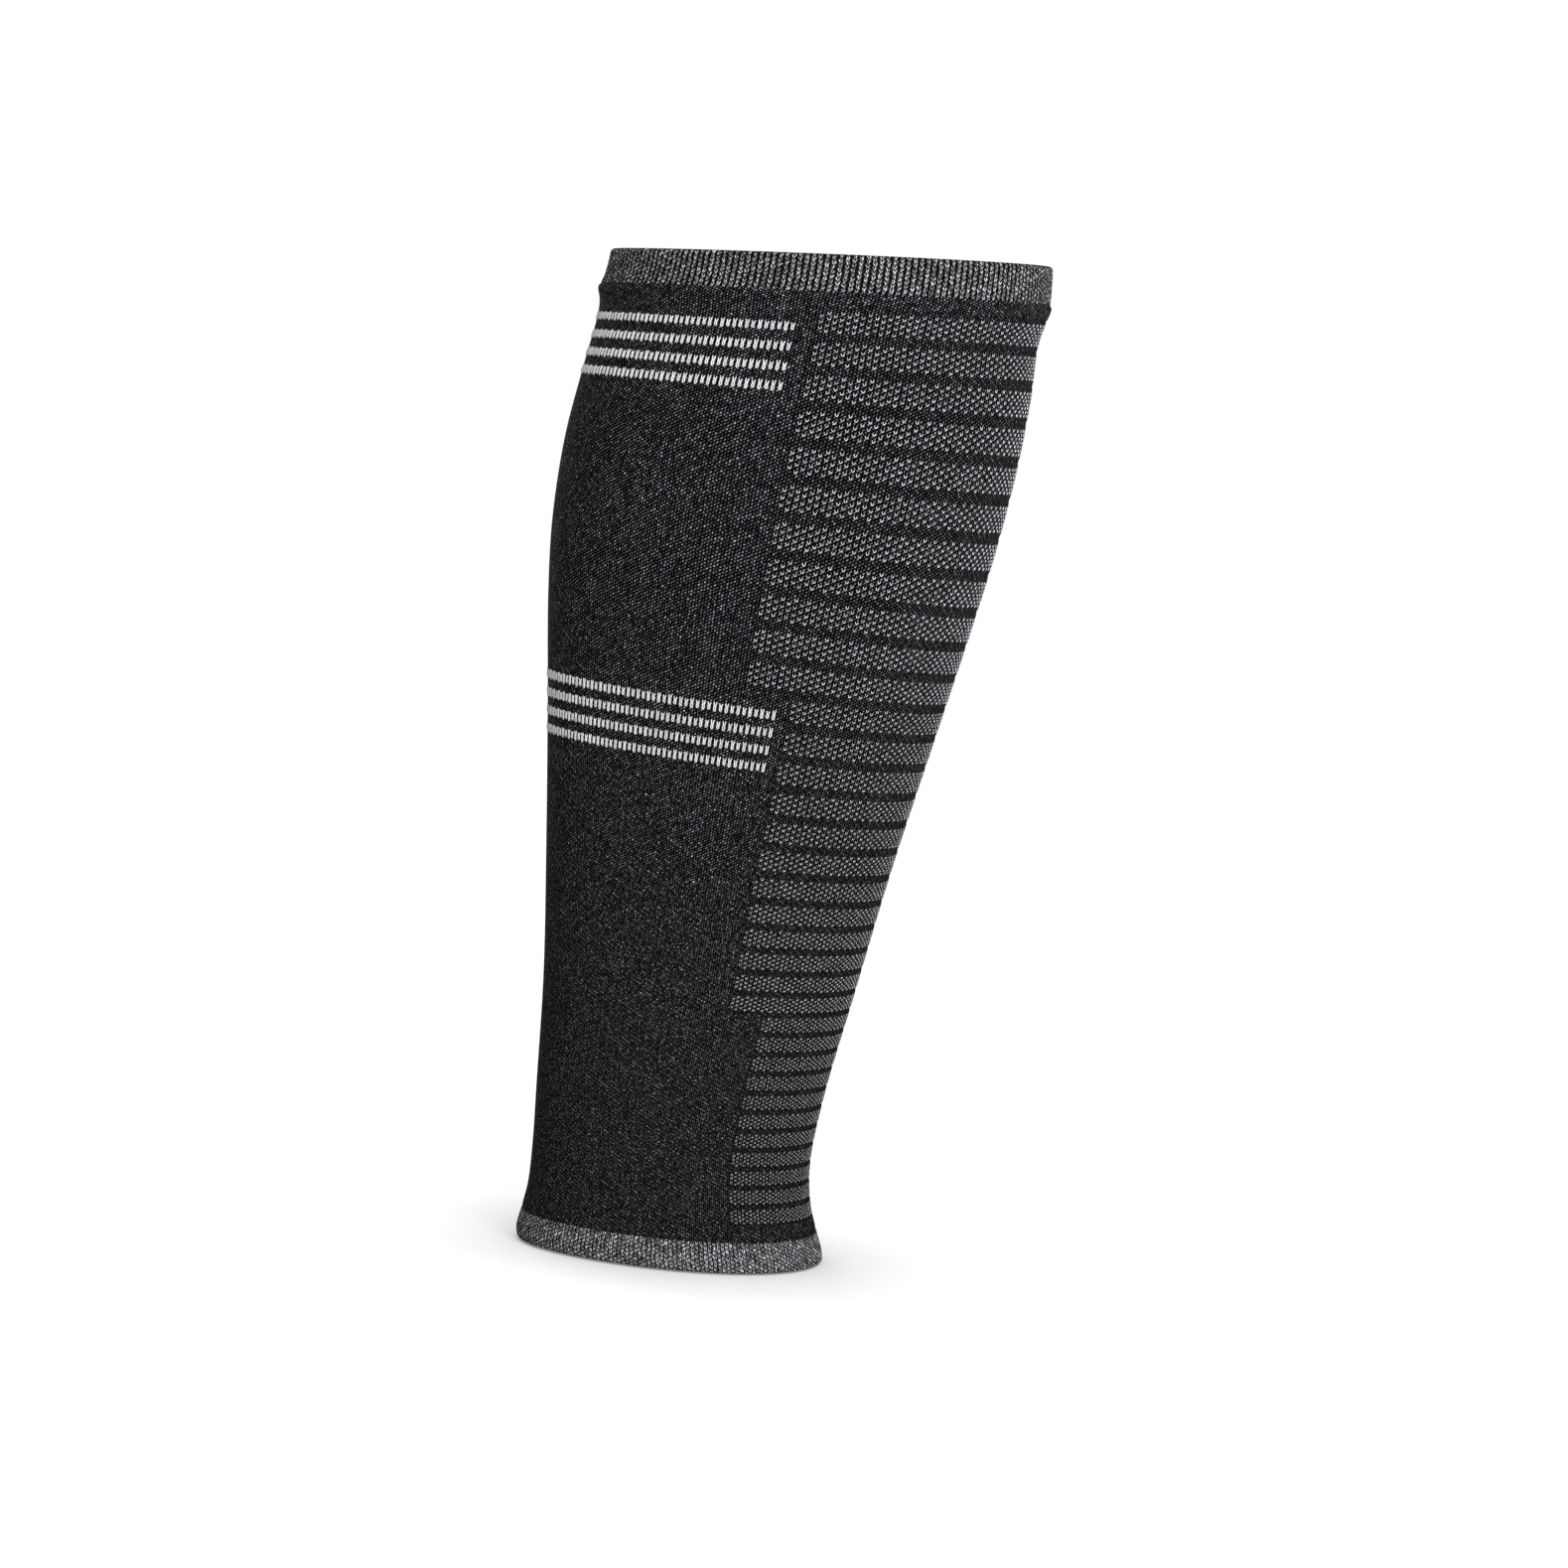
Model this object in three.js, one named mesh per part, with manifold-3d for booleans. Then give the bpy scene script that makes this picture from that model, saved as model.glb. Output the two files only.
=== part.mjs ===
// Graduated compression sleeve for the calf, in the form it has on the leg.
// It is a seamless circular knit: the same number of wales (knit columns) runs round it at every height,
// and the courses (knit rows) lie closer together towards the ankle, where it grips most.
// Millimetres, +Z up the leg, shin towards -X, calf towards +X.
// The origin is on the leg's axis where the calf is fullest.
import * as THREE from "three";
import { LoftGeometry } from "three/addons/geometries/LoftGeometry.js";
import { mergeVertices } from "three/addons/utils/BufferGeometryUtils.js";
import Module from "manifold-3d";

// Knit gauge and the heights of the zones, measured up from the ankle edge
const WALES = 200;
const CALF_HEIGHT = 240;
const HEM_HEAD = 10;
const PANEL_HEAD = 283.1;
const CUFF_FOOT = 287.5;
const CUFF_HEAD = 298.2;

// Walls and relief
const BODY_WALL = 1.5;
const HEM_WALL = 2.0;
const CUFF_WALL = 2.2;
const RIB_DEPTH = 0.6;
const GROOVE_DEPTH = 0.5;
const GROOVE_COURSES = 3;
const BAND_COURSES = 10;
const EDGE_ROUND = 0.8;
const SHIN_TAPER = 0.12;

// Clearance between neighbouring zones, and the width of a wale where it is narrowest, at the ankle
const GAP = 0.3;
const NARROWEST_WALE = 1.15;

// Facets: wales to a column in each zone, and the height of a row of the body, outside and inside
const BODY_STEP = 5;
const PANEL_STEP = 8;
const HEM_STEP = 4;
const RIB_STEP = 0.5;
const OUTER_ROW = 12.5;
const INNER_ROW = 28;

// The space of a panel block: its rows, and how far it reaches past each face of the wall
const SPACE_ROW = 12;
const SPACE_REACH = 4;

// Sections of the leg by height: where the shin and the calf stand, and the breadth across.
// climb is how far the course at that height rises from shin to calf, and course is the height of one course.
const SECTIONS = [
  { height: 0, shin: -62.8, calf: 28.9, breadth: 76, climb: 0, course: 0.53 },
  { height: 3, shin: -63.4, calf: 28.4, breadth: 76, climb: 0, course: 0.53 },
  { height: 8.5, shin: -62.4, calf: 26.5, breadth: 73, climb: 0, course: 0.54 },
  { height: 16, shin: -61, calf: 24.2, breadth: 68.5, climb: 0, course: 0.55 },
  { height: 28, shin: -60.5, calf: 22.9, breadth: 65, climb: 0, course: 0.56 },
  { height: 46, shin: -60.7, calf: 24.8, breadth: 67, climb: 0, course: 0.58 },
  { height: 80, shin: -61.2, calf: 31.7, breadth: 75, climb: -0.8, course: 0.62 },
  { height: 120, shin: -63.5, calf: 40.1, breadth: 87, climb: -3.7, course: 0.82 },
  { height: 160, shin: -66.2, calf: 49.7, breadth: 100, climb: -6.5, course: 0.92 },
  { height: 195, shin: -68.7, calf: 58.1, breadth: 111, climb: -8.5, course: 0.99 },
  { height: 215, shin: -69.1, calf: 62.5, breadth: 116.5, climb: -6.5, course: 1.07 },
  { height: 240, shin: -67.2, calf: 66.8, breadth: 120, climb: -4, course: 1.07 },
  { height: 262, shin: -63.2, calf: 69.2, breadth: 119, climb: 0.2, course: 1 },
  { height: 278, shin: -60.2, calf: 70.1, breadth: 117, climb: 2.7, course: 0.88 },
  { height: 285, shin: -60.3, calf: 71.9, breadth: 117.5, climb: 3.8, course: 0.79 },
  { height: 288, shin: -59.3, calf: 72.4, breadth: 117, climb: 4.2, course: 0.72 },
  { height: 301, shin: -57.2, calf: 72.4, breadth: 116.5, climb: 5.2, course: 0.64 },
];

// Blocks of the mesh panel over the calf, from the top down.
// edge is the wale where a block starts, counted from the shin, and it ends as far round on the other side.
const BLOCKS = [
  { name: "calf_panel_upper", edge: 48, bands: 11 },
  { name: "calf_panel_middle", edge: 56, bands: 12 },
  { name: "calf_panel_lower", edge: 64, bands: 11 },
];

const KNITS = {
  body: { color: 0x262629, roughness: 0.95, metalness: 0 },
  mesh: { color: 0x403f42, roughness: 0.95, metalness: 0 },
  marl: { color: 0x56555a, roughness: 0.95, metalness: 0 },
};

const wasm = await Module();
wasm.setup();

const legShape = new THREE.CubicInterpolant(
  SECTIONS.map((row) => row.height),
  SECTIONS.flatMap((row) => [row.shin, row.calf, row.breadth, row.climb, row.course]),
  5,
);

function legAt(height) {
  const [shin, calf, breadth, climb, course] = legShape.evaluate(height);
  return { middle: (shin + calf) / 2, depth: calf - shin, breadth, climb, course };
}

// A level ring of the leg: an ellipse that narrows towards the shin, starting at the shin and turning by -Y.
class LegRing extends THREE.Curve {
  constructor(height) {
    super();
    this.height = height;
    Object.assign(this, legAt(height));
  }

  getPoint(t, target = new THREE.Vector3()) {
    const turn = 2 * Math.PI * t;
    const fullness = 1 - SHIN_TAPER * Math.cos(turn);
    return target.set(
      this.middle - (this.depth / 2) * Math.cos(turn),
      -(this.breadth / 2) * Math.sin(turn) * fullness,
      this.height,
    );
  }
}

// The point of the knit at a wale and a course's mean height, sunk by depth below the outer face of the leg.
// Wales are spaced evenly round each ring, and a course climbs or falls from shin to calf.
function onLeg({ wale, height, depth }) {
  const round = (wale % WALES) / WALES;
  const mean = new LegRing(height);
  const rise = (mean.climb * (mean.getPointAt(round).x - mean.middle)) / mean.depth;
  const ring = new LegRing(height + rise);
  const point = ring.getPointAt(round);
  const along = ring.getTangentAt(round);
  point.x -= depth * along.y;
  point.y += depth * along.x;
  return point;
}

// Numbers from start to end inclusive, in steps no longer than step.
function spaced(start, end, step) {
  const count = Math.ceil(Math.abs(end - start) / step);
  return Array.from({ length: count + 1 }, (_, i) => start + ((end - start) * i) / count);
}

// A knitted ring: its upright slice, carried from wale to wale round the leg.
// inside runs up the inner face and outside runs up the outer face, as rows of height and depth.
function knitRing(step, inside, outside) {
  const slices = spaced(0, WALES, step).map((wale) => {
    const rows = [...inside, ...outside(wale).reverse()];
    return rows.map((row) => onLeg({ wale, ...row }));
  });
  return toSolid(new LoftGeometry(slices));
}

function toSolid(geometry) {
  const shell = new THREE.BufferGeometry();
  shell.setAttribute("position", geometry.attributes.position);
  shell.setIndex(geometry.index);
  const merged = mergeVertices(shell);
  return new wasm.Manifold(
    new wasm.Mesh({
      numProp: 3,
      vertProperties: merged.attributes.position.array,
      triVerts: merged.index.array,
    }),
  );
}

function toGeometry(solid) {
  const { vertProperties, triVerts } = solid.getMesh();
  const geometry = new THREE.BufferGeometry();
  geometry.setAttribute("position", new THREE.BufferAttribute(vertProperties, 3));
  geometry.setIndex(new THREE.BufferAttribute(triVerts, 1));
  geometry.computeVertexNormals();
  return geometry;
}

// The height that lies a number of courses below another.
function coursesDown(height, courses) {
  for (let i = 0; i < courses; i++) height -= legAt(height).course;
  return height;
}

// Each block's band edges, worked down the calf one band at a time.
function layOutBlocks() {
  let head = PANEL_HEAD;
  return BLOCKS.map((block) => {
    const bandEdges = [head];
    for (let band = 0; band < block.bands; band++) {
      head = coursesDown(head, BAND_COURSES);
      bandEdges.push(head);
    }
    return { ...block, bandEdges, head: bandEdges[0], foot: head };
  });
}

// The space of a block, grown by a margin all round: level loops that reach past both faces of the wall.
function blockSpace({ edge, head, foot }, margin) {
  const first = edge - margin / NARROWEST_WALE;
  const wales = spaced(first, WALES - first, BODY_STEP);
  const loops = spaced(foot - margin, head + margin, SPACE_ROW).map((height) => [
    ...wales.map((wale) => onLeg({ wale, height, depth: -SPACE_REACH })),
    ...wales.toReversed().map((wale) => onLeg({ wale, height, depth: BODY_WALL + SPACE_REACH })),
  ]);
  return toSolid(new LoftGeometry(loops, { capStart: true, capEnd: true }));
}

// The plain knit tube, with one stepped window for the blocks of the panel.
function legBody(blocks) {
  const foot = HEM_HEAD + GAP / 2;
  const head = CUFF_FOOT - GAP / 2;
  const inside = spaced(foot, head, INNER_ROW).map((height) => ({ height, depth: BODY_WALL }));
  const outside = () => spaced(foot, head, OUTER_ROW).map((height) => ({ height, depth: 0 }));
  const tube = knitRing(BODY_STEP, inside, outside);
  return blocks.reduce((body, block) => body.subtract(blockSpace(block, GAP / 2)), tube);
}

// A block of the panel: bands that stand proud, with a groove of plain courses at each band's edge.
function panelBlock(block) {
  const grooves = block.bandEdges.toReversed().map((height) => {
    const half = (GROOVE_COURSES / 2) * legAt(height).course;
    return [
      { height: height - half, depth: 0 },
      { height, depth: GROOVE_DEPTH },
      { height: height + half, depth: 0 },
    ];
  });
  const outside = () => grooves.flat();
  const low = outside().at(0).height;
  const high = outside().at(-1).height;
  const inside = spaced(low, high, INNER_ROW).map((height) => ({ height, depth: BODY_WALL }));
  return knitRing(PANEL_STEP, inside, outside).intersect(blockSpace(block, -GAP / 2));
}

// The top cuff: one rib to a wale, with a groove halfway to the next, rounded over at the rim.
function topCuff() {
  const foot = CUFF_FOOT + GAP / 2;
  const inside = [foot, CUFF_HEAD].map((height) => ({ height, depth: CUFF_WALL }));
  const outside = (wale) => {
    const depth = Number.isInteger(wale) ? 0 : RIB_DEPTH;
    return [
      { height: foot, depth },
      { height: CUFF_HEAD - EDGE_ROUND, depth },
      { height: CUFF_HEAD, depth: RIB_DEPTH + EDGE_ROUND },
    ];
  };
  return knitRing(RIB_STEP, inside, outside);
}

// The turned hem at the ankle, rounded over at its lower edge.
function ankleHem() {
  const head = HEM_HEAD - GAP / 2;
  const inside = [0, head].map((height) => ({ height, depth: HEM_WALL }));
  const outside = () => [
    { height: 0, depth: EDGE_ROUND },
    { height: EDGE_ROUND, depth: 0 },
    { height: HEM_HEAD / 2, depth: 0 },
    { height: head, depth: 0 },
  ];
  return knitRing(HEM_STEP, inside, outside);
}

function zone(name, solid, knit) {
  const mesh = new THREE.Mesh(toGeometry(solid), new THREE.MeshStandardMaterial(knit));
  mesh.name = name;
  return mesh;
}

// The zones are built up from the ankle edge, and the group hangs them about the calf.
const blocks = layOutBlocks();
const worn = new THREE.Group();
worn.position.z = -CALF_HEIGHT;
worn.add(zone("top_cuff", topCuff(), KNITS.marl));
worn.add(zone("leg_body", legBody(blocks), KNITS.body));
for (const block of blocks) worn.add(zone(block.name, panelBlock(block), KNITS.mesh));
worn.add(zone("ankle_hem", ankleHem(), KNITS.marl));

const sleeve = new THREE.Group();
sleeve.add(worn);

export default sleeve;
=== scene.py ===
"""Studio picture of a graduated compression sleeve for the calf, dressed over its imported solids.

The sleeve is one circular knit, so every face and stitch is placed by its wale, the knit column counted
from the shin, and its course, the knit row counted up from the head of the calf panel. Sizes are
millimetres until a mesh is made.
"""

import math

import bpy
import numpy as np
from mathutils import Matrix


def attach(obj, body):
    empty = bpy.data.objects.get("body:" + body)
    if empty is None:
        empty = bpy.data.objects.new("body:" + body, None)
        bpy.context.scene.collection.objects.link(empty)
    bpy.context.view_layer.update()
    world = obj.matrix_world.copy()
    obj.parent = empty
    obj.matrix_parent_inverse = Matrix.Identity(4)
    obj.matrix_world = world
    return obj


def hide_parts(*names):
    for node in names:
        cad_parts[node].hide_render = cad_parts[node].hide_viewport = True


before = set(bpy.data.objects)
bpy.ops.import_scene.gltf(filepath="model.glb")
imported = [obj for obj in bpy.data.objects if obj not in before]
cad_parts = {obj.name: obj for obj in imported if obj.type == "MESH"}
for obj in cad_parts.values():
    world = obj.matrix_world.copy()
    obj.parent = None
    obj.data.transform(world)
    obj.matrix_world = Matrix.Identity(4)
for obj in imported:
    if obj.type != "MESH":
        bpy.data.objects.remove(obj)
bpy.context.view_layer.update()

MM = 0.001

# Knit gauge and the heights of the zones, measured up from the ankle edge
WALES = 200
CALF_HEIGHT = 240
HEM_HEAD = 8.75
PANEL_HEAD = 283.1
CUFF_FOOT = 288.0
CUFF_HEAD = 298.2

# Walls, and the gap of the plain knit to the cuff and to the hem
BODY_WALL = 1.5
HEM_WALL = 2.0
CUFF_WALL = 2.2
ZONE_GAP = 0.05

# Relief of the cuff: its ribs, with their half widths in wales at crown and foot, the stitches on them, the
# scallops at its foot and the rounding of its rim
RIB_DEPTH = 0.6
RIB_CROWN = 0.3
RIB_FOOT = 0.48
RIB_STITCH_DEPTH = 0.16
SCALLOP_DEPTH = 0.6
RIM_ROUND = 1.2

# Relief of the hem: its ribs, up the outside and round the turn, and the height of the turn
HEM_RIB_DEPTH = 0.2
TURN_RIB_DEPTH = 0.1
HEM_TURN = 0.8

# Relief of the panel: the groove between two bands
GROOVE_DEPTH = 0.25
GROOVE_COURSES = 3
BAND_COURSES = 10

# Where the plain knit is drawn in, under the cuff and above the hem, and where it swells, below the cuff: by
# how much, and the heights over which it comes in
PULLS = [
    {"depth": 0.8, "start": CUFF_FOOT - 1.6, "end": CUFF_FOOT - 0.2},
    {"depth": -0.5, "start": CUFF_FOOT - 5.5, "end": CUFF_FOOT - 2},
    {"depth": 0.3, "start": HEM_HEAD + 1.5, "end": HEM_HEAD},
]

# Seams round the panel, and the distance to a further row or column beside an edge, both in stitches
SEAM = 0.01
BESIDE_EDGE = 0.03

# Facets of the cuff and the hem: columns to a wale, rows up the outside, round a turn and up the inside
CUFF_COLUMNS = 6
CUFF_ROWS = 42
HEM_COLUMNS = 4
HEM_ROWS = 12
TURN_ROWS = 9
INSIDE_ROWS = 4

# Sections of the leg by height: where the shin and the calf stand, the breadth across, how far the course at
# that height rises from shin to calf, and the height of one course
SECTIONS = np.array(
    [
        (0, -62.8, 28.9, 76.0, 0.0, 0.53),
        (3, -63.4, 28.4, 76.0, 0.0, 0.53),
        (8.5, -62.4, 26.5, 73.0, 0.0, 0.54),
        (16, -61.0, 24.2, 68.5, 0.0, 0.55),
        (28, -60.5, 22.9, 65.0, 0.0, 0.56),
        (46, -60.7, 24.8, 67.0, 0.0, 0.58),
        (80, -61.2, 31.7, 75.0, -0.8, 0.62),
        (120, -63.5, 40.1, 87.0, -3.7, 0.82),
        (160, -66.2, 49.7, 100.0, -6.5, 0.92),
        (195, -68.7, 58.1, 111.0, -8.5, 0.99),
        (215, -69.1, 62.5, 116.5, -6.5, 1.07),
        (240, -67.2, 66.8, 120.0, -4.0, 1.07),
        (262, -63.2, 69.2, 119.0, 0.2, 1.00),
        (278, -60.2, 70.1, 117.0, 2.7, 0.88),
        (285, -60.3, 71.9, 117.5, 3.8, 0.79),
        (288, -59.3, 72.4, 117.0, 4.2, 0.72),
        (301, -57.2, 72.4, 116.5, 5.2, 0.64),
    ],
    dtype=[(name, float) for name in ("height", "shin", "calf", "breadth", "climb", "course")],
)

# The share by which a section is narrower than an ellipse towards the shin, and wider towards the calf
SHIN_TAPER = 0.12

# Blocks of the mesh panel over the calf, from the top down: the wale where a block starts, its bands, and the
# radius of its pale yarn in wales
BLOCKS = [
    {"name": "calf_panel_upper", "edge": 48, "bands": 11, "yarn": 0.085},
    {"name": "calf_panel_middle", "edge": 56, "bands": 12, "yarn": 0.078},
    {"name": "calf_panel_lower", "edge": 64, "bands": 11, "yarn": 0.072},
]

# Groups of pale stripes over the shin: height of the top stripe, pitch, and the last wale on either side
STRIPE_GROUPS = [
    {"name": "stripe_yarn_upper", "top": 277.0, "pitch": 5.77, "reach": 45},
    {"name": "stripe_yarn_middle", "top": 166.0, "pitch": 5.16, "reach": 54},
]
STRIPES = 4

# The path of a mesh loop and of a stripe stitch: bend by bend, across in wales, up in courses, lift off the
# knit in wales and share of the yarn's radius, which is in wales too
PATH_COLUMNS = [(name, float) for name in ("across", "up", "lift", "thick")]
MESH_LOOP = np.array(
    [
        (-0.27, 1.20, -0.12, 0.7),
        (-0.22, 0.65, -0.04, 0.9),
        (-0.09, 0.12, -0.03, 1.0),
        (0.09, 0.12, -0.03, 1.0),
        (0.22, 0.65, -0.04, 0.9),
        (0.27, 1.20, -0.12, 0.7),
    ],
    dtype=PATH_COLUMNS,
)
STRIPE_STITCH = np.array(
    [
        (-0.25, 1.78, -0.14, 0.7),
        (-0.21, 1.29, -0.01, 0.9),
        (-0.16, 0.74, 0.03, 1.0),
        (-0.11, 0.18, 0.05, 1.0),
        (-0.17, -0.48, 0.06, 1.0),
        (-0.14, -1.09, 0.04, 1.0),
        (0.00, -1.45, -0.01, 1.0),
        (0.14, -1.09, 0.04, 1.0),
        (0.17, -0.48, 0.06, 1.0),
        (0.11, 0.18, 0.05, 1.0),
        (0.16, 0.74, 0.03, 1.0),
        (0.21, 1.29, -0.01, 0.9),
        (0.25, 1.78, -0.14, 0.7),
    ],
    dtype=PATH_COLUMNS,
)

# Radius of the stripes' yarn in wales, the height of a short stitch to a long one, and the sides of a tube
STRIPE_YARN = 0.11
SHORT_STITCH = 0.76
LOOP_SIDES = 4
STRIPE_SIDES = 6

# How unevenly the yarn lies, in wales and in courses, and the range of its tones
LOOP_STRAY = (0.04, 0.05)
LOOP_TONES = (0.45, 1.0)
STRIPE_STRAY = (0.02, 0.04)
STRIPE_TONES = (0.6, 1.0)

# How far the arms of a V stitch rise, in courses, and the heights of a course of the cuff and of the hem
LEG_RISE = 0.85
CUFF_COURSE = 1.33
HEM_COURSE = 1.2

random = np.random.default_rng(seed=7)


# The leg


def leg_at(height):
    """Sizes of the leg at a height: a cubic through the table, whose slope at a row is the mean of the two
    chords that meet there."""
    knots = SECTIONS["height"]
    row = np.clip(np.searchsorted(knots, height, side="right") - 1, 0, len(knots) - 2)
    span = knots[row + 1] - knots[row]
    p = (height - knots[row]) / span
    leg = {}
    for name in SECTIONS.dtype.names[1:]:
        value = SECTIONS[name]
        chord = np.diff(value) / np.diff(knots)
        slope = np.concatenate([chord[:1], (chord[1:] + chord[:-1]) / 2, chord[-1:]])
        between = value[row] * (1 + 2 * p) * (1 - p) ** 2 + value[row + 1] * (3 - 2 * p) * p**2
        leg[name] = between + span * p * (1 - p) * (slope[row] * (1 - p) - slope[row + 1] * p)
    leg["middle"] = (leg["shin"] + leg["calf"]) / 2
    leg["depth"] = leg["calf"] - leg["shin"]
    return leg


def ring_point(leg, turn):
    """x and y on a level ring at a turn from the shin: an ellipse that narrows towards the shin."""
    fullness = 1 - SHIN_TAPER * np.cos(turn)
    x = leg["middle"] - leg["depth"] / 2 * np.cos(turn)
    y = -leg["breadth"] / 2 * np.sin(turn) * fullness
    return x, y


def ring_outward(leg, turn):
    """Outward direction on a level ring: the ring's tangent turned by a right angle."""
    along_x = leg["depth"] / 2 * np.sin(turn)
    along_y = -leg["breadth"] / 2 * (np.cos(turn) - SHIN_TAPER * np.cos(2 * turn))
    length = np.hypot(along_x, along_y)
    return along_y / length, -along_x / length


# The table of turns: the height of its first row, its rows, a millimetre apart, its entries to a wale, and
# the points round a ring that its arcs are measured through
TABLE_FOOT = -6
TABLE_ROWS = 320
TABLE_STEPS = 2
ARC_POINTS = 1441


def tabulate_turns():
    """Turn from the shin by height and part of a wale: equal lengths of arc round each ring."""
    leg = leg_at(TABLE_FOOT + np.arange(TABLE_ROWS, dtype=float)[:, None])
    turn = np.linspace(0, 2 * np.pi, ARC_POINTS)
    x, y = ring_point(leg, turn)
    arc = np.cumsum(np.hypot(np.diff(x), np.diff(y)), axis=1)
    wale = np.pad(arc / arc[:, -1:], ((0, 0), (1, 0))) * WALES
    wanted = np.arange(WALES * TABLE_STEPS + 1) / TABLE_STEPS
    return np.stack([np.interp(wanted, row, turn) for row in wale])


TURNS = tabulate_turns()


def turn_at(wale, height):
    """Turn from the shin at a wale and height, read between the four nearest entries of the table."""
    row = np.clip(height - TABLE_FOOT, 0, TABLE_ROWS - 1)
    column = np.mod(wale, WALES) * TABLE_STEPS
    i = np.minimum(row.astype(int), TABLE_ROWS - 2)
    j = np.minimum(column.astype(int), WALES * TABLE_STEPS - 1)
    p = row - i
    q = column - j
    low = TURNS[i, j] * (1 - q) + TURNS[i, j + 1] * q
    high = TURNS[i + 1, j] * (1 - q) + TURNS[i + 1, j + 1] * q
    return low * (1 - p) + high * p


def on_leg(wale, height, lift=0.0):
    """Points of the knit at wales and courses' mean heights, and the outward directions there.
    A course climbs evenly from shin to calf, and lift raises a point off the leg's outer face."""
    wale, height, lift = np.broadcast_arrays(*(np.asarray(a, float) for a in (wale, height, lift)))
    mean = leg_at(height)
    x, _ = ring_point(mean, turn_at(wale, height))
    level = height + mean["climb"] * (x - mean["middle"]) / mean["depth"]
    leg = leg_at(level)
    turn = turn_at(wale, level)
    x, y = ring_point(leg, turn)
    out_x, out_y = ring_outward(leg, turn)
    points = np.stack([x + lift * out_x, y + lift * out_y, level - CALF_HEIGHT], axis=-1)
    return points, np.stack([out_x, out_y, np.zeros_like(out_x)], axis=-1)


# Heights between which courses are counted, a little past both edges
LOWEST_COURSE = -2
HIGHEST_COURSE = CUFF_HEAD + 3


def count_courses():
    """Heights of the courses, counted up from the lowest, and the number of the one at the panel's head."""

    def course_at(height):
        return float(leg_at(np.array(height))["course"])

    heights = [PANEL_HEAD]
    while heights[0] > LOWEST_COURSE:
        heights.insert(0, heights[0] - course_at(heights[0]))
    head = len(heights) - 1
    while heights[-1] < HIGHEST_COURSE:
        heights.append(heights[-1] + course_at(heights[-1]))
    return np.array(heights), head


COURSE_HEIGHTS, HEAD_COURSE = count_courses()
COURSES = np.arange(len(COURSE_HEIGHTS)) - HEAD_COURSE


def height_of(course):
    return np.interp(course, COURSES, COURSE_HEIGHTS)


def course_of(height):
    return np.interp(height, COURSE_HEIGHTS, COURSES)


def smooth_step(low, high, value):
    """0 at low and 1 at high, with a cubic between them and no change past them."""
    p = np.clip((value - low) / (high - low), 0, 1)
    return p * p * (3 - 2 * p)


# Meshes


def add_piece(name, points, quads, maps, material, slot, replaces=None, tone=None, flat=0):
    """A mesh object from arrays of points, quads and the map of each quad's corners, with a tone to a point
    where tones are given. The first few quads, flat in number, are edges of a wall and are shaded flat."""
    used, quads_used = np.unique(quads, return_inverse=True)
    mesh = bpy.data.meshes.new(name)
    mesh.vertices.add(len(used))
    mesh.vertices.foreach_set("co", (points[used] * MM).ravel())
    mesh.loops.add(quads.size)
    mesh.loops.foreach_set("vertex_index", quads_used.ravel().astype(np.int32))
    mesh.polygons.add(len(quads))
    mesh.polygons.foreach_set("loop_start", np.arange(0, quads.size, 4, dtype=np.int32))
    mesh.polygons.foreach_set("use_smooth", np.arange(len(quads)) >= flat)
    mesh.uv_layers.new(name="knit").uv.foreach_set("vector", maps.astype(np.float32).ravel())
    if tone is not None:
        tones = mesh.attributes.new("tone", "FLOAT", "POINT")
        tones.data.foreach_set("value", tone[used].astype(np.float32))
    mesh.update(calc_edges=True)
    mesh.materials.append(material)
    piece = bpy.data.objects.new(name, mesh)
    bpy.context.scene.collection.objects.link(piece)
    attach(piece, "root")
    if replaces:
        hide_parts(replaces)


def wall(wale, course, outer, inner, keep, ring):
    """Closed wall between an outer and an inner face on a grid of courses and wales.
    keep marks the cells that it covers, side walls join the faces round their edge, and a ring's last column
    is its first. Gives points, quads, their maps and the number of side quads, which come first."""
    rows = len(course)
    columns = len(wale) - 1 if ring else len(wale)
    points = np.concatenate([face[:, :columns].reshape(-1, 3) for face in (outer, inner)])
    round_ = np.pad(keep, ((0, 0), (1, 1)), mode="wrap") if ring else np.pad(keep, ((0, 0), (1, 1)))
    stacked = np.pad(keep, ((1, 1), (0, 0)))
    # Where each kind of side quad goes, and its corners: steps of row and column, on the outer (0) or inner
    # (1) face
    sides = [
        (keep & ~stacked[:-2], [(0, 1, 0), (0, 0, 0), (0, 0, 1), (0, 1, 1)]),
        (keep & ~stacked[2:], [(1, 0, 0), (1, 1, 0), (1, 1, 1), (1, 0, 1)]),
        (keep & ~round_[:, :-2], [(0, 0, 0), (1, 0, 0), (1, 0, 1), (0, 0, 1)]),
        (keep & ~round_[:, 2:], [(1, 1, 0), (0, 1, 0), (0, 1, 1), (1, 1, 1)]),
    ]
    faces = [
        (keep, [(0, 0, 1), (1, 0, 1), (1, 1, 1), (0, 1, 1)]),
        (keep, [(0, 0, 0), (0, 1, 0), (1, 1, 0), (1, 0, 0)]),
    ]
    quads = []
    maps = []
    for where, corners in sides + faces:
        r, c = np.nonzero(where)
        at = [face * rows * columns + (r + up) * columns + (c + on) % columns for up, on, face in corners]
        flat = [np.stack([wale[c + on], course[r + up]], axis=1) for up, on, _ in corners]
        quads.append(np.stack(at, axis=1))
        maps.append(np.stack(flat, axis=1))
    side_quads = sum(len(kind) for kind in quads[: len(sides)])
    return points, np.concatenate(quads), np.concatenate(maps), side_quads


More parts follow.
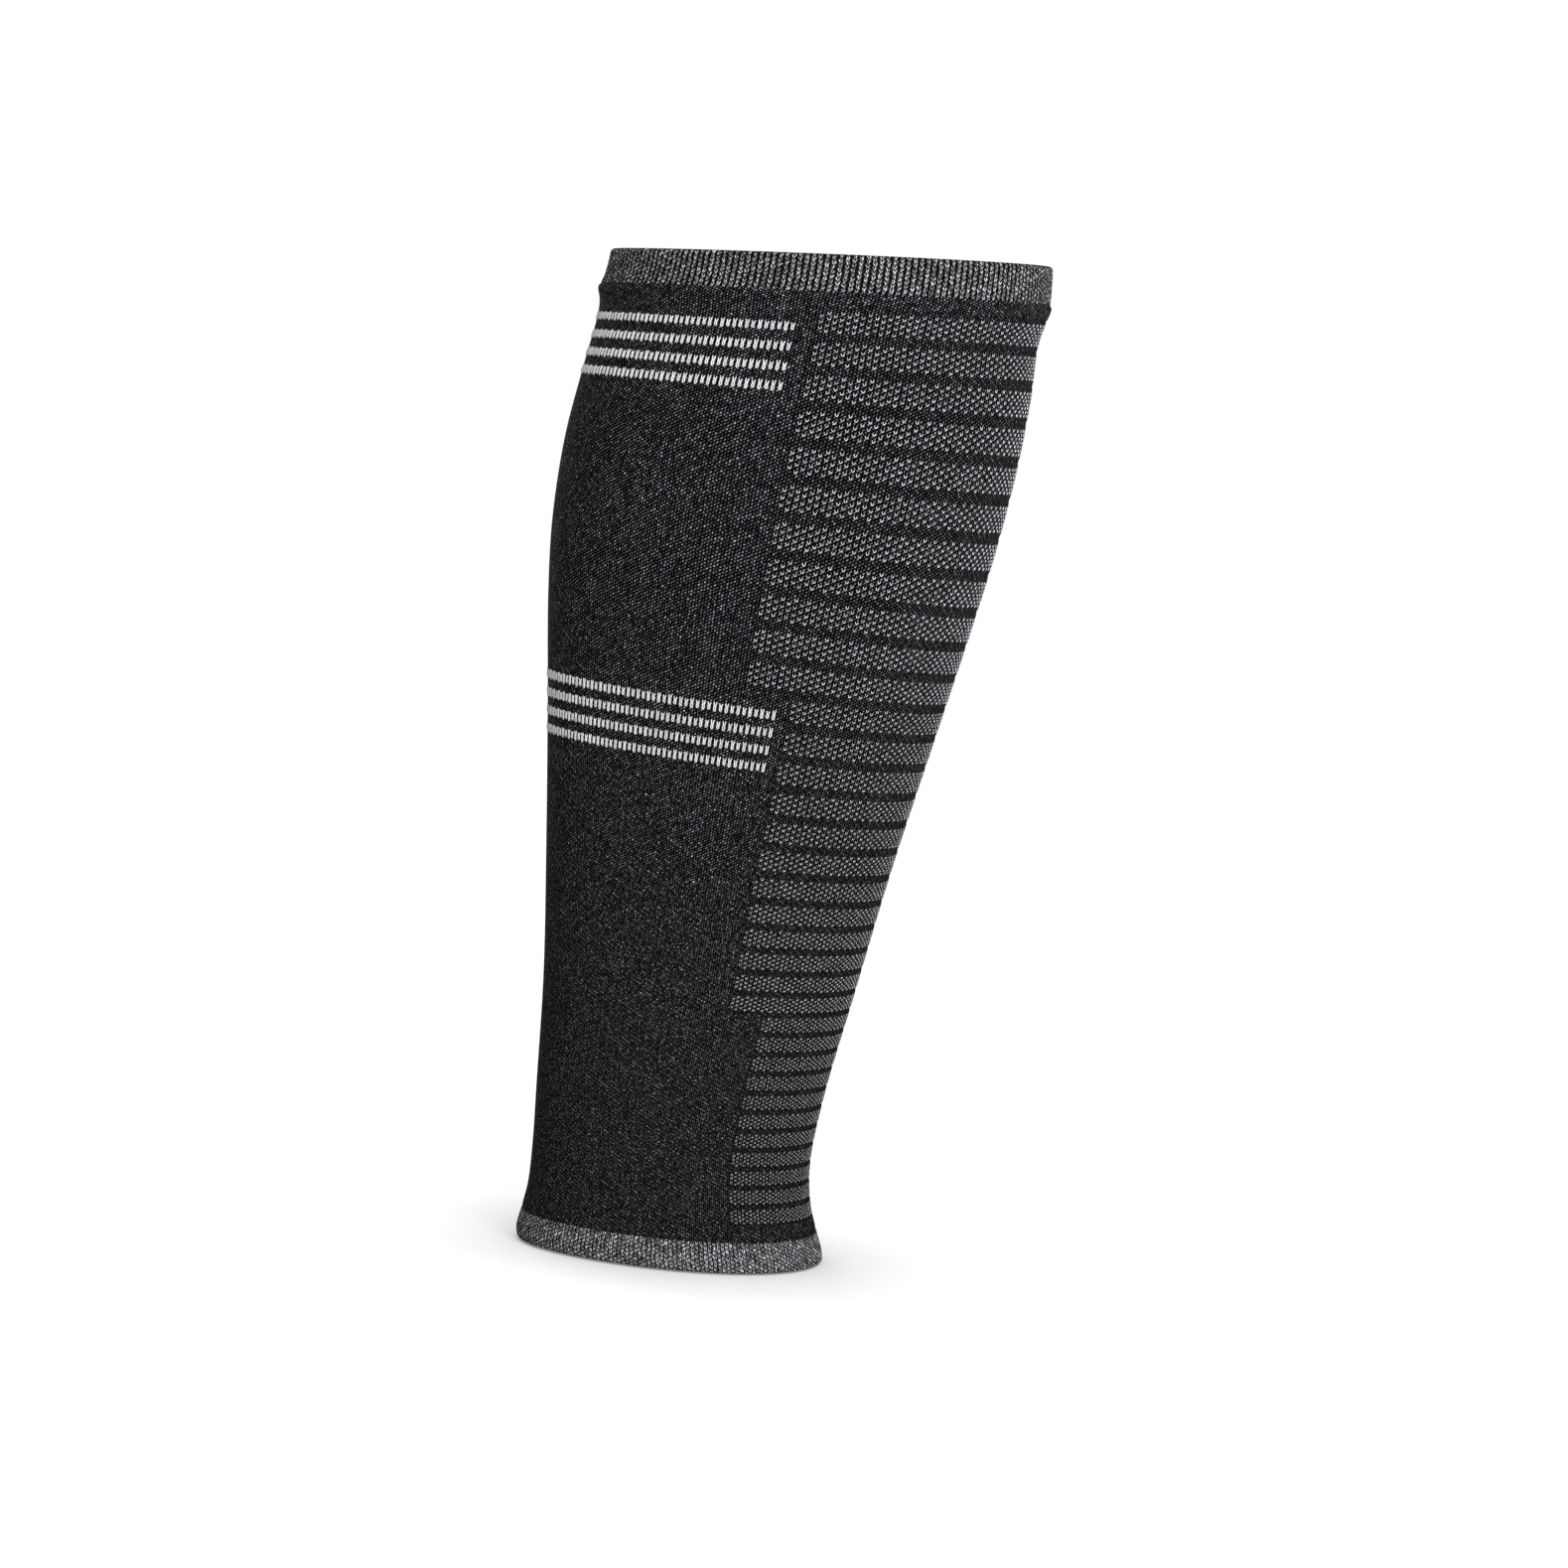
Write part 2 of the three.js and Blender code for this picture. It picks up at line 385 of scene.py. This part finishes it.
def hoop(wale, course, points):
    """Closed ring from a grid whose rows run up the outer face, over and down the inner one, back to the
    first. The last of the wales is the first again, and has no points of its own."""
    rows, columns, _ = points.shape
    r = np.arange(rows)[:, None]
    c = np.arange(columns)[None, :]
    corners = [(0, 0), (0, 1), (1, 1), (1, 0)]
    course = np.broadcast_to(course, (rows, columns))
    course = np.pad(course, ((0, 1), (0, 1)), mode="wrap")
    wale = np.broadcast_to(wale, (rows + 1, columns + 1))
    quads = [((r + up) % rows) * columns + (c + on) % columns for up, on in corners]
    maps = [np.stack([wale[r + up, c + on], course[r + up, c + on]], axis=-1) for up, on in corners]
    return points.reshape(-1, 3), np.stack(quads, -1).reshape(-1, 4), np.stack(maps, -2).reshape(-1, 4, 2)


def yarn(wale, course, path, radius, sides, stretch=1.0):
    """Stitches of yarn: at each wale and course a tube of a few sides along the path's bends.
    A bend lies at the stitch's wale plus across and course plus up, raised off the knit by lift; the ring of
    points there stands square to the path. Lift and radius are shares of the wale's width."""
    before, _ = on_leg(wale - 0.5, height_of(course))
    after, _ = on_leg(wale + 0.5, height_of(course))
    width = np.linalg.norm(after - before, axis=-1)
    wale = wale[:, None] + path["across"]
    course = course[:, None] + np.multiply.outer(np.broadcast_to(stretch, course.shape), path["up"])
    centre, outward = on_leg(wale, height_of(course), np.multiply.outer(width, path["lift"]))
    along = np.gradient(centre, axis=1)
    along /= np.linalg.norm(along, axis=-1, keepdims=True)
    side = np.cross(along, outward)
    side /= np.linalg.norm(side, axis=-1, keepdims=True)
    over = np.cross(side, along)
    angle = 2 * np.pi * np.arange(sides) / sides
    reach = radius * np.multiply.outer(width, path["thick"])[:, :, None, None]
    rings = side[:, :, None] * np.cos(angle)[:, None] + over[:, :, None] * np.sin(angle)[:, None]
    points = centre[:, :, None] + reach * rings
    stitches, bends, _, _ = points.shape
    index = np.arange(stitches * bends * sides).reshape(stitches, bends, sides)
    turned = np.roll(index, -1, axis=2)
    tube = np.stack([index[:, :-1], index[:, 1:], turned[:, 1:], turned[:, :-1]], axis=-1)
    # An end is closed by one quad on a tube of four sides and by two on a tube of six
    caps = [
        index[:, end][:, order]
        for end, orders in ((0, (0, 1, 2, 3)), (-1, (3, 2, 1, 0)))
        for order in ([orders] if sides == 4 else [orders, tuple((i + 3) % 6 for i in orders)])
    ]
    quads = np.concatenate([tube.reshape(-1, 4), *caps])
    around = np.broadcast_to(np.arange(sides) / sides, index.shape)
    length = np.broadcast_to(np.linspace(0, 1, bends)[:, None], index.shape)
    flat = np.stack([length, around], axis=-1).reshape(-1, 2)
    return points.reshape(-1, 3), quads, flat[quads]


# Materials


class Look:
    """A material being put together: each method adds nodes and returns the last one's output."""

    def __init__(self, name, roughness, specular):
        self.material = bpy.data.materials.new(name)
        self.material.use_nodes = True
        self.tree = self.material.node_tree
        self.shader = self.tree.nodes["Principled BSDF"]
        self.shader.inputs["Roughness"].default_value = roughness
        self.shader.inputs["Specular IOR Level"].default_value = specular

    def put(self, socket, value):
        if isinstance(value, bpy.types.NodeSocket):
            self.tree.links.new(value, socket)
        else:
            socket.default_value = value

    def add(self, kind, output=0, settings=(), **inputs):
        node = self.tree.nodes.new(kind)
        for name, value in dict(settings).items():
            setattr(node, name, value)
        for name, value in inputs.items():
            self.put(node.inputs[name.replace("_", " ")], value)
        return node.outputs[output]

    def math(self, operation, *values, kind="ShaderNodeMath"):
        node = self.tree.nodes.new(kind)
        node.operation = operation
        for socket, value in zip(node.inputs, values):
            self.put(socket, value)
        return node.outputs[0]

    def vector(self, operation, *values):
        return self.math(operation, *values, kind="ShaderNodeVectorMath")

    def between(self, value, low, high):
        """value, which runs from 0 to 1, stretched to run from low to high."""
        return self.math("MULTIPLY_ADD", value, high - low, low)

    def arch(self, value):
        """A parabola of value, which runs from 0 to 1: 0 at both ends and 1 halfway."""
        return self.math("MULTIPLY", self.math("MULTIPLY", value, self.math("SUBTRACT", 1.0, value)), 4.0)

    def ramp(self, value, stops):
        node = self.tree.nodes.new("ShaderNodeValToRGB")
        self.put(node.inputs[0], value)
        elements = node.color_ramp.elements
        while len(elements) < len(stops):
            elements.new(0.5)
        for element, (place, colour) in zip(elements, stops):
            element.position = place
            element.color = (*colour, 1)
        return node.outputs[0]

    def scaled(self, vector, amount):
        """A vector or colour times an amount."""
        scale = {"operation": "SCALE"}
        return self.add("ShaderNodeVectorMath", settings=scale, Vector=vector, Scale=amount)

    def finish(self, colour, relief, depth, strength):
        self.put(self.shader.inputs["Base Color"], colour)
        bump = self.add("ShaderNodeBump", Height=relief, Distance=depth * MM, Strength=strength)
        self.put(self.shader.inputs["Normal"], bump)
        return self.material


# Courses between which the knit slackens: near the ankle edge, and below the full part of the calf
TIGHT_COURSE = -340.0
SLACK_COURSE = -70.0

# The noise that shakes stitches: its grains to a stitch, and how many times stronger it is at the ankle
SHAKE_GRAINS = 1.5
ANKLE_SHAKE = 1.5

# The knit's relief, the share of its tone that painted shade leaves in its hollows, and its fibres: to a metre,
# and their contrast
STITCH_RELIEF = 0.3
PAINTED_HOLLOW_LIGHT = 0.01
KNIT_FIBRES = 2600.0
KNIT_FIBRE_CONTRAST = 2.5

# The pale yarn's fibres: to a metre, and how far they change its tone; its plies, their turns along a stitch
# and their relief
YARN_FIBRES = 3200.0
YARN_FIBRE_CONTRAST = 0.5
PLIES = 2.0
PLY_TURNS = 9.0
PLY_RELIEF = 0.05


def stitch_legs(look, span, join, shake, twill):
    """The two legs of each stitch, from the knit map.
    span is the share of a wale that the stitch fills, and join, from 0 to 1, is how far the legs meet at the
    wale's middle. shake is the range in stitches over which noise moves the map, and it grows at the ankle. In
    a twill both legs lean the same way, a course to a wale. Otherwise they make a V, and every second wale is
    half a course higher. Gives the relief, 1 on a leg's crown and 0 between legs, a random number for each leg,
    0 or 1 for stitches that take turns, and how slack the knit is, from 0 at the ankle to 1."""
    knit = look.add("ShaderNodeUVMap", settings={"uv_map": "knit"})
    level = look.add("ShaderNodeSeparateXYZ", output="Y", Vector=knit)
    slack = look.add("ShaderNodeMapRange", Value=level, From_Min=TIGHT_COURSE, From_Max=SLACK_COURSE)
    noise = look.add("ShaderNodeTexNoise", output="Color", Vector=knit, Scale=SHAKE_GRAINS, Detail=0.0)
    amount = look.between(slack, ANKLE_SHAKE * shake, shake)
    offset = look.scaled(look.vector("SUBTRACT", noise, (0.5, 0.5, 0.5)), amount)
    shaken = look.vector("ADD", offset, knit)
    split = look.add("ShaderNodeSeparateXYZ", Vector=shaken).node
    wale, course = split.outputs["X"], split.outputs["Y"]
    column = look.math("ROUND", wale)
    across = look.math("SUBTRACT", wale, column)
    apart = look.math("MINIMUM", look.math("MULTIPLY", look.math("ABSOLUTE", across), 2.0 / span), 1.0)
    if twill:
        lowered = look.math("SUBTRACT", course, wale)
    else:
        arms = look.math("MULTIPLY_ADD", apart, -LEG_RISE, course)
        lowered = look.math("MULTIPLY_ADD", column, 0.5, arms)
    row = look.math("FLOOR", lowered)
    crown = look.arch(look.math("SUBTRACT", lowered, row))
    width = look.arch(look.between(apart, 0.5 * join, 1.0))
    relief = look.math("MULTIPLY", crown, width)
    leg = look.add(
        "ShaderNodeCombineXYZ",
        X=look.math("FLOORED_MODULO", column, float(WALES)),
        Y=row,
        Z=look.math("SIGN", across),
    )
    chance = look.add("ShaderNodeTexWhiteNoise", settings={"noise_dimensions": "3D"}, Vector=leg)
    right_leg = look.math("GREATER_THAN", across, 0.0)
    turns = look.math("FLOORED_MODULO", look.math("ADD", row, right_leg), 2.0)
    return relief, chance, turns, slack


def fibre_noise(look, scale):
    """Fine cloudy noise through the piece, about 0, a half to either side at most."""
    place = look.add("ShaderNodeTexCoord", output="Object")
    noise = look.add("ShaderNodeTexNoise", Vector=place, Scale=scale, Detail=2.0, Roughness=0.6)
    return look.math("SUBTRACT", noise, 0.5)


def knit_look(name, stops, span, join, shake, fill, fleck, twill=False, ankle=1.0, turn=(0.0, 0.0)):
    """A knit of melange yarn: each leg of a stitch takes a tone at random, fibres cloud it, and shade is
    painted into the colour of the hollows between legs, which with a span under 1 take in the grooves between
    ribs.
    span, join, shake and twill shape the legs. fill over 1 narrows the lit crown of each leg and so widens the
    painted shade, and fleck is how far fibres and not whole legs set the tone. ankle is how bright the tighter
    knit is near the ankle, and turn, at the calf and at the ankle, is how much every second stitch differs."""
    look = Look(name, roughness=0.95, specular=0.02)
    relief, chance, turns, slack = stitch_legs(look, span, join, shake, twill)
    fibre = look.math("MULTIPLY_ADD", fibre_noise(look, KNIT_FIBRES), KNIT_FIBRE_CONTRAST, 0.5)
    mixed = look.math("MULTIPLY_ADD", look.math("SUBTRACT", fibre, chance), fleck, chance)
    tone = look.ramp(mixed, stops)
    # Painted shade: the tone is darkened almost to black in the hollows between the legs' crowns, where shade
    # falls
    light = look.between(look.math("POWER", relief, fill), PAINTED_HOLLOW_LIGHT, 1.0)
    # The same factor then also carries the turn of every second stitch and the darker knit near the ankle
    calf_turn, ankle_turn = turn
    differs = look.between(slack, ankle_turn, calf_turn)
    swing = look.math("MULTIPLY", look.between(turns, -1.0, 1.0), differs)
    light = look.math("MULTIPLY_ADD", light, swing, light)
    dimmed = look.between(look.math("MULTIPLY", slack, slack), ankle, 1.0)
    light = look.math("MULTIPLY", light, dimmed)
    return look.finish(look.scaled(tone, light), relief, STITCH_RELIEF, strength=0.7)


def yarn_look(name, dark, pale):
    """Smooth pale yarn: fibres and the stitch's own tone cloud it, and two plies wind round it."""
    look = Look(name, roughness=0.9, specular=0.05)
    own = look.add("ShaderNodeAttribute", output="Fac", settings={"attribute_name": "tone"})
    mixed = look.math("MULTIPLY_ADD", fibre_noise(look, YARN_FIBRES), YARN_FIBRE_CONTRAST, own)
    colour = look.ramp(mixed, [(0.0, dark), (1.0, pale)])
    knit = look.add("ShaderNodeUVMap", settings={"uv_map": "knit"})
    split = look.add("ShaderNodeSeparateXYZ", Vector=knit).node
    along, around = split.outputs["X"], split.outputs["Y"]
    wound = look.math("MULTIPLY_ADD", along, PLY_TURNS, look.math("MULTIPLY", around, PLIES))
    ply = look.math("ABSOLUTE", look.math("SINE", look.math("MULTIPLY", wound, math.pi)))
    return look.finish(colour, ply, PLY_RELIEF, strength=0.5)


def grey(value, blue=1.05):
    """A grey with a little less green than red, and blue times as much blue."""
    return (value, value * 0.985, value * blue)


TWILL = {"span": 1.0, "join": 0.0, "shake": 0.44, "fill": 6.5, "twill": True}

charcoal_knit = knit_look(
    "charcoal_knit",
    [(0.0, grey(0.01, 1.12)), (0.5, grey(0.13, 1.12)), (0.85, grey(0.33, 1.1)), (1.0, grey(0.85, 1.05))],
    fleck=0.3,
    ankle=0.66,
    turn=(0.1, 0.5),
    **TWILL,
)
mesh_ground = knit_look(
    "mesh_ground",
    [(0.0, grey(0.01, 1.1)), (0.6, grey(0.12, 1.1)), (0.9, grey(0.29, 1.08)), (1.0, grey(0.7, 1.05))],
    fleck=0.5,
    ankle=0.6,
    turn=(0.3, 0.5),
    **TWILL,
)
rib_knit = knit_look(
    "rib_knit",
    [(0.0, grey(0.02)), (0.4, grey(0.24)), (0.7, grey(0.58)), (1.0, grey(0.9))],
    span=0.68,
    join=0.2,
    shake=0.5,
    fill=2.8,
    fleck=0.5,
)
marl_knit = knit_look(
    "marl_knit",
    [(0.0, grey(0.03)), (0.4, grey(0.24)), (0.7, grey(0.58)), (1.0, grey(0.95))],
    span=0.88,
    join=0.2,
    shake=0.6,
    fill=3.0,
    fleck=0.5,
)
mesh_yarn = yarn_look("mesh_yarn", grey(0.1), grey(0.61))
stripe_yarn = yarn_look("stripe_yarn", grey(0.27, 1.02), grey(0.52, 1.02))


# Zones of the knit


def with_edges(first, between, last):
    """Places along a face, with one more close to each end so that the face shades evenly up to its edge."""
    return np.concatenate([[first, first + BESIDE_EDGE], between, [last - BESIDE_EDGE, last]])


def place_blocks():
    """Head and foot of each block of the panel, in courses."""
    head = 0
    for block in BLOCKS:
        block["head"] = head
        head -= block["bands"] * BAND_COURSES
        block["foot"] = head


def leg_body():
    """The plain knit: a wall round the leg, drawn in under the cuff and above the hem, with a stepped window
    for the panel. Its rows are two courses apart, or half a course above the window, and its columns one
    wale."""
    foot = course_of(HEM_HEAD + ZONE_GAP)
    head = course_of(CUFF_FOOT - ZONE_GAP)
    edges = np.array([block["edge"] for block in BLOCKS])
    columns = np.setdiff1d(np.arange(WALES + 1), [edges, WALES - edges])
    beside = np.concatenate([edges - SEAM, edges - SEAM - BESIDE_EDGE])
    wale = np.unique(np.concatenate([columns, beside, WALES - beside]))
    window_head = BLOCKS[0]["head"] + SEAM
    ledges = np.array([block["foot"] for block in BLOCKS]) - SEAM
    rows = np.concatenate([np.arange(-1, foot, -2), np.arange(0.5, head, 0.5)])
    rows = np.concatenate([rows, [window_head, window_head + BESIDE_EDGE], ledges, ledges - BESIDE_EDGE])
    course = with_edges(foot, np.unique(rows), head)
    middle_course = (course[1:] + course[:-1])[:, None] / 2
    middle_wale = (wale[1:] + wale[:-1]) / 2
    keep = np.ones((len(course) - 1, len(wale) - 1), dtype=bool)
    for block in BLOCKS:
        in_rows = (middle_course < block["head"] + SEAM) & (middle_course > block["foot"] - SEAM)
        in_columns = np.abs(middle_wale - WALES / 2) < WALES / 2 - block["edge"] + SEAM
        keep &= ~(in_rows & in_columns)
    height = height_of(course)[:, None]
    drawn_in = sum(pull["depth"] * smooth_step(pull["start"], pull["end"], height) for pull in PULLS)
    outer, _ = on_leg(wale, height, -drawn_in)
    inner, _ = on_leg(wale, height, -BODY_WALL)
    *arrays, side_quads = wall(wale, course, outer, inner, keep, ring=True)
    add_piece("body_knit", *arrays, charcoal_knit, "body_knit", "leg_body", flat=side_quads)


def panel_block(block):
    """A block of the panel: bands that stand proud, with a rounded groove where two bands meet. It has a row
    to a course and a column to a wale."""
    foot, head = block["foot"] + SEAM, block["head"] - SEAM
    first, last = block["edge"] + SEAM, WALES - block["edge"] - SEAM
    course = with_edges(foot, np.arange(block["foot"] + 1, block["head"]), head)
    wale = with_edges(first, np.arange(block["edge"] + 1, WALES - block["edge"]), last)
    from_edge = np.mod(course - block["foot"], BAND_COURSES)
    from_edge = np.minimum(from_edge, BAND_COURSES - from_edge)
    groove = GROOVE_DEPTH * (1 - smooth_step(0, GROOVE_COURSES / 2, from_edge))
    height = height_of(course)[:, None]
    outer, _ = on_leg(wale, height, -groove[:, None])
    inner, _ = on_leg(wale, height, -BODY_WALL)
    keep = np.ones((len(course) - 1, len(wale) - 1), dtype=bool)
    *arrays, side_quads = wall(wale, course, outer, inner, keep, ring=False)
    name = block["name"].replace("calf_panel", "panel_knit")
    add_piece(name, *arrays, mesh_ground, "mesh_knit", block["name"], flat=side_quads)


def panel_loops(block):
    """Pale loops of a block: on every second wale of each mesh course, shifted by a wale from course to
    course. The courses of a groove have none."""
    band_head = block["head"] - BAND_COURSES * np.arange(block["bands"])
    row = np.arange(BAND_COURSES - GROOVE_COURSES)
    wale = np.arange(block["edge"] + 1, WALES - block["edge"])
    band_head, row, wale = np.meshgrid(band_head, row, wale, indexing="ij")
    taken = (wale + row) % 2 == 0
    stray_wale, stray_course = LOOP_STRAY
    wale = wale[taken] + random.normal(0, stray_wale, taken.sum())
    course = (band_head - GROOVE_COURSES / 2 - 1 - row)[taken]
    course = course + random.normal(0, stray_course, taken.sum())
    points, quads, maps = yarn(wale, course, MESH_LOOP, block["yarn"], LOOP_SIDES)
    tone = np.repeat(random.uniform(*LOOP_TONES, len(wale)), LOOP_SIDES * len(MESH_LOOP))
    name = block["name"].replace("calf_panel", "mesh_loops")
    add_piece(name, points, quads, maps, mesh_yarn, "mesh_knit", tone=tone)


def stripe_stitches(group):
    """Pale stripes: one stitch to a wale, long and short in turn."""
    heights = group["top"] - group["pitch"] * np.arange(STRIPES)
    wale, course = np.meshgrid(np.arange(-group["reach"], group["reach"] + 1.0), course_of(heights))
    stretch = np.where(np.round(wale) % 2 == 0, 1.0, SHORT_STITCH).ravel()
    stray_wale, stray_course = STRIPE_STRAY
    wale = wale.ravel() + random.normal(0, stray_wale, wale.size)
    course = course.ravel() + random.normal(0, stray_course, wale.size)
    points, quads, maps = yarn(wale, course, STRIPE_STITCH, STRIPE_YARN, STRIPE_SIDES, stretch)
    tone = np.repeat(random.uniform(*STRIPE_TONES, len(wale)), STRIPE_SIDES * len(STRIPE_STITCH))
    add_piece(group["name"], points, quads, maps, stripe_yarn, "stripe_yarn", tone=tone)


def stitch_swell(wale, course):
    """Relief of V stitches: each leg is a parabola across its course, its arms rise from the wale's middle,
    and every second wale is half a course higher."""
    apart = 2 * np.abs(wale - np.round(wale))
    along = np.mod(course + np.round(wale) / 2 - LEG_RISE * apart, 1)
    return 4 * along * (1 - along)


def top_cuff():
    """The ribbed cuff: a rib to a wale with a chain of V stitches up it, scalloped at its foot and rounded
    over at the rim. Rows run up the outside, over the rim and down the inside."""
    wale = np.arange(WALES * CUFF_COLUMNS + 1) / CUFF_COLUMNS
    off_rib = np.abs(wale - np.round(wale))[:-1]
    rib = 1 - smooth_step(RIB_CROWN, RIB_FOOT, off_rib)
    inside_foot = CUFF_FOOT + ZONE_GAP
    foot = inside_foot - SCALLOP_DEPTH * smooth_step(0.1, 0.9, rib)
    head = CUFF_HEAD - RIM_ROUND
    height = foot + (head - foot) * np.linspace(0, 1, CUFF_ROWS)[:, None]
    stitches = stitch_swell(wale[:-1], height / CUFF_COURSE)
    lift = RIB_DEPTH * (rib - 1) + RIB_STITCH_DEPTH * rib * (stitches - 1)
    turn = np.linspace(0, np.pi, TURN_ROWS)[1:-1, None]
    half = (CUFF_WALL + lift[-1]) / 2
    rim_height = height[-1] + RIM_ROUND * np.sin(turn)
    rim_lift = lift[-1] - half * (1 - np.cos(turn))
    inside_height = np.linspace(head, inside_foot, INSIDE_ROWS)[:, None] + 0 * rib
    height = np.concatenate([height, rim_height, inside_height])
    lift = np.concatenate([lift, rim_lift, np.full_like(inside_height, -CUFF_WALL)])
    points, _ = on_leg(wale[:-1], height, lift)
    ring = hoop(wale, height / CUFF_COURSE, points)
    add_piece("cuff_knit", *ring, rib_knit, "marl_knit", "top_cuff")


def ankle_hem():
    """The turned hem: fine ribs, rounded under at its lower edge. Rows run up the outside, over the head,
    down the inside and round the turn."""
    wale = np.arange(WALES * HEM_COLUMNS + 1) / HEM_COLUMNS
    rib = np.cos(np.pi * (wale - np.round(wale)))[:-1] ** 2
    head = HEM_HEAD - ZONE_GAP
    height = np.linspace(HEM_TURN, head, HEM_ROWS)[:, None]
    lift = HEM_RIB_DEPTH * (rib - 1) + 0 * height
    inside_height = np.linspace(head, HEM_TURN, INSIDE_ROWS)[:, None]
    inside_lift = np.full((INSIDE_ROWS, rib.size), -HEM_WALL)
    turn = np.linspace(np.pi, 0, TURN_ROWS)[1:-1, None]
    under_height = HEM_TURN - HEM_TURN * np.sin(turn)
    under_lift = -HEM_WALL / 2 + HEM_WALL / 2 * np.cos(turn) + TURN_RIB_DEPTH * (rib - 1)
    height = np.concatenate([height, inside_height, under_height]) + 0 * rib
    lift = np.concatenate([lift, inside_lift, under_lift])
    points, _ = on_leg(wale[:-1], height, lift)
    ring = hoop(wale, height / HEM_COURSE, points)
    add_piece("hem_knit", *ring, marl_knit, "marl_knit", "ankle_hem")


# The studio, in metres

# The floor: half its side, how far it lies under the hem, the distances from the origin at which it counts
# as near and far, its grey and its glow at both, and how near the sleeve must be to shade its glow
FLOOR_REACH = 6.0
FLOOR_DROP = 0.0004
FLOOR_SPAN = (0.3, 0.8)
FLOOR_GREYS = (0.16, 0.2)
FLOOR_GLOWS = (0.92, 1.0)
SHADE_REACH = 0.07

# Square lights turned to the sleeve, and the light of the surround
LIGHTS = [
    {"name": "key", "place": (0.85, -2.22, 1.0), "size": 1.4, "power": 135},
    {"name": "back_fill", "place": (-0.9, 1.9, 0.9), "size": 1.2, "power": 32},
]
SURROUND_LIGHT = 0.06
WHITE = (1, 1, 1, 1)

# The camera: its place, its tilt down and roll in degrees, and its lens and sensor in millimetres
CAMERA_PLACE = (0.00575, -1.5177, 0.0281)
CAMERA_TILT = 4.757
CAMERA_ROLL = 4.7
CAMERA_LENS = 117.52
CAMERA_SENSOR = 36


def add_floor():
    """A plain pale floor just under the hem. It glows, less where the sleeve shades it."""
    level = -CALF_HEIGHT * MM - FLOOR_DROP
    corners = [(-1, -1), (1, -1), (1, 1), (-1, 1)]
    mesh = bpy.data.meshes.new("floor")
    mesh.from_pydata([(x * FLOOR_REACH, y * FLOOR_REACH, level) for x, y in corners], [], [(0, 1, 2, 3)])
    look = Look("floor", roughness=0.9, specular=0.1)
    near_end, far_end = FLOOR_SPAN
    near_grey, far_grey = FLOOR_GREYS
    place = look.add("ShaderNodeTexCoord", output="Object")
    away = look.add("ShaderNodeVectorMath", output="Value", settings={"operation": "LENGTH"}, Vector=place)
    far = look.add("ShaderNodeMapRange", Value=away, From_Min=near_end, From_Max=far_end)
    greys = look.ramp(far, [(0.0, (near_grey,) * 3), (1.0, (far_grey,) * 3)])
    look.put(look.shader.inputs["Base Color"], greys)
    look.shader.inputs["Emission Color"].default_value = WHITE
    # Painted contact shadow: the floor's glow is dimmed by occlusion where the sleeve stands near it
    open_sky = look.add(
        "ShaderNodeAmbientOcclusion", output="AO", settings={"samples": 4}, Distance=SHADE_REACH
    )
    glow = look.math("MULTIPLY", look.between(far, *FLOOR_GLOWS), open_sky)
    look.put(look.shader.inputs["Emission Strength"], glow)
    mesh.materials.append(look.material)
    floor = bpy.data.objects.new("floor", mesh)
    bpy.context.scene.collection.objects.link(floor)


def stand(thing, place, right, up, back):
    """Puts a light or camera into the scene at a place, by the directions of its own axes."""
    turned = np.eye(4)
    turned[:3] = np.stack([right, up, back, place], axis=1)
    thing.matrix_world = Matrix(turned.tolist())
    bpy.context.scene.collection.objects.link(thing)


def add_area_light(name, place, size, power):
    """A square soft light at a place, turned to the origin."""
    light = bpy.data.lights.new(name, "AREA")
    light.size = size
    light.energy = power
    back = np.array(place) / np.linalg.norm(place)
    right = np.cross((0, 0, 1), back)
    right /= np.linalg.norm(right)
    stand(bpy.data.objects.new(name, light), place, right, np.cross(back, right), back)


def add_lights():
    """A surround that is white to the eye and lights the knit more softly, a large key from the right and
    front, and a weaker light behind."""
    world = bpy.data.worlds.new("surround")
    world.use_nodes = True
    nodes = world.node_tree.nodes
    links = world.node_tree.links
    soft = nodes["Background"]
    soft.inputs["Color"].default_value = WHITE
    soft.inputs["Strength"].default_value = SURROUND_LIGHT
    white = nodes.new("ShaderNodeBackground")
    white.inputs["Color"].default_value = WHITE
    ray = nodes.new("ShaderNodeLightPath")
    mix = nodes.new("ShaderNodeMixShader")
    links.new(ray.outputs["Is Camera Ray"], mix.inputs["Fac"])
    links.new(soft.outputs[0], mix.inputs[1])
    links.new(white.outputs[0], mix.inputs[2])
    links.new(mix.outputs[0], nodes["World Output"].inputs["Surface"])
    bpy.context.scene.world = world
    for light in LIGHTS:
        add_area_light(**light)
    bpy.context.scene.view_settings.view_transform = "Standard"


def add_camera():
    """The camera stands a metre and a half off the side of the leg, tilted down and rolled a little."""
    tilt = math.radians(CAMERA_TILT)
    roll = math.radians(CAMERA_ROLL)
    right = np.array([1, 0, 0])
    up = np.array([0, math.sin(tilt), math.cos(tilt)])
    back = np.array([0, -math.cos(tilt), math.sin(tilt)])
    rolled_right = math.cos(roll) * right + math.sin(roll) * up
    rolled_up = math.cos(roll) * up - math.sin(roll) * right
    data = bpy.data.cameras.new("camera")
    data.sensor_width = CAMERA_SENSOR
    data.lens = CAMERA_LENS
    camera = bpy.data.objects.new("camera", data)
    stand(camera, CAMERA_PLACE, rolled_right, rolled_up, back)
    bpy.context.scene.camera = camera


place_blocks()
leg_body()
for block in BLOCKS:
    panel_block(block)
    panel_loops(block)
for group in STRIPE_GROUPS:
    stripe_stitches(group)
top_cuff()
ankle_hem()
add_floor()
add_lights()
add_camera()
